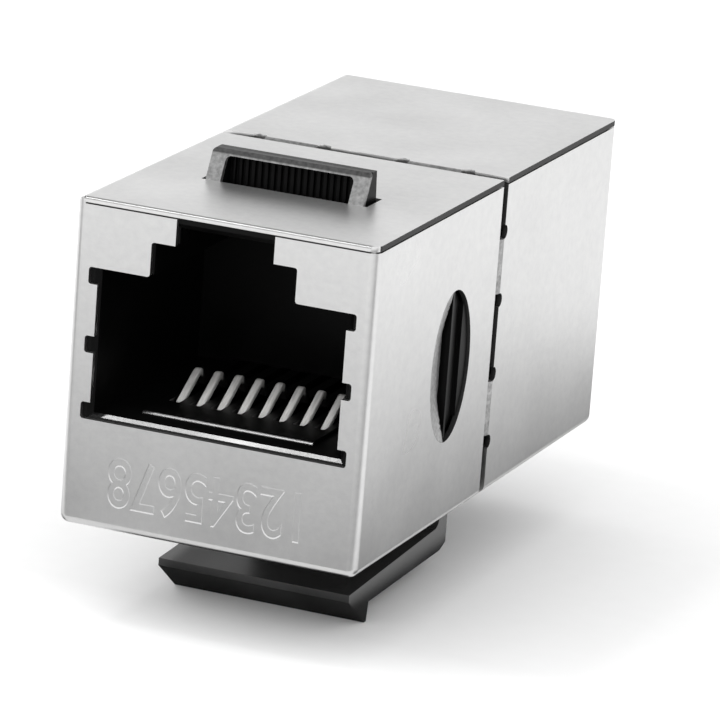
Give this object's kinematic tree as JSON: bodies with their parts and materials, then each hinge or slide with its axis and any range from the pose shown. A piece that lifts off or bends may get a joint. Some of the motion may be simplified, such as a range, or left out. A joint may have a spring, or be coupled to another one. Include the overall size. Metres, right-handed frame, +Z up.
{
  "type": "rj45 inline coupler",
  "caption": "Inline coupler for two modular data plugs: a folded metal case with a stepped socket at each end, a sprung panel latch below and a catch ramp on top.",
  "frame": {"origin": "centre of the front plug opening, on the front face of the case", "axes": "+Y runs through the coupler from the front face to the rear face, +Z is up away from the panel latch, +X is to the right seen from the front"},
  "size_m": [0.0144, 0.03, 0.0212],
  "materials": {
    "case_metal": "satin nickel-plated sheet",
    "socket_plastic": "black moulded plastic",
    "carrier_plastic": "black moulded plastic",
    "contact_metal": "pale plated spring wire",
    "board": "circuit board with dark solder mask",
    "latch_plastic": "glossy black moulded plastic"
  },
  "bodies": {
    "housing": {"front_shell": "case_metal", "rear_shell": "case_metal", "front_jack_body": "socket_plastic", "rear_jack_body": "socket_plastic", "front_contact_comb": "carrier_plastic", "rear_contact_comb": "carrier_plastic", "front_contact_1": "contact_metal", "front_contact_2": "contact_metal", "front_contact_3": "contact_metal", "front_contact_4": "contact_metal", "front_contact_5": "contact_metal", "front_contact_6": "contact_metal", "front_contact_7": "contact_metal", "front_contact_8": "contact_metal", "rear_contact_1": "contact_metal", "rear_contact_2": "contact_metal", "rear_contact_3": "contact_metal", "rear_contact_4": "contact_metal", "rear_contact_5": "contact_metal", "rear_contact_6": "contact_metal", "rear_contact_7": "contact_metal", "rear_contact_8": "contact_metal", "circuit_board": "board"},
    "latch": {"panel_latch": "latch_plastic"}
  },
  "joints": [
    {"name": "latch_flex", "type": "hinge", "parent": "housing", "child": "latch", "pos_m": [0, 0.01725, -0.0074], "axis": [-1, 0, 0], "range_deg": [0, 8], "stiffness_Nm_per_rad": 0.5}
  ]
}
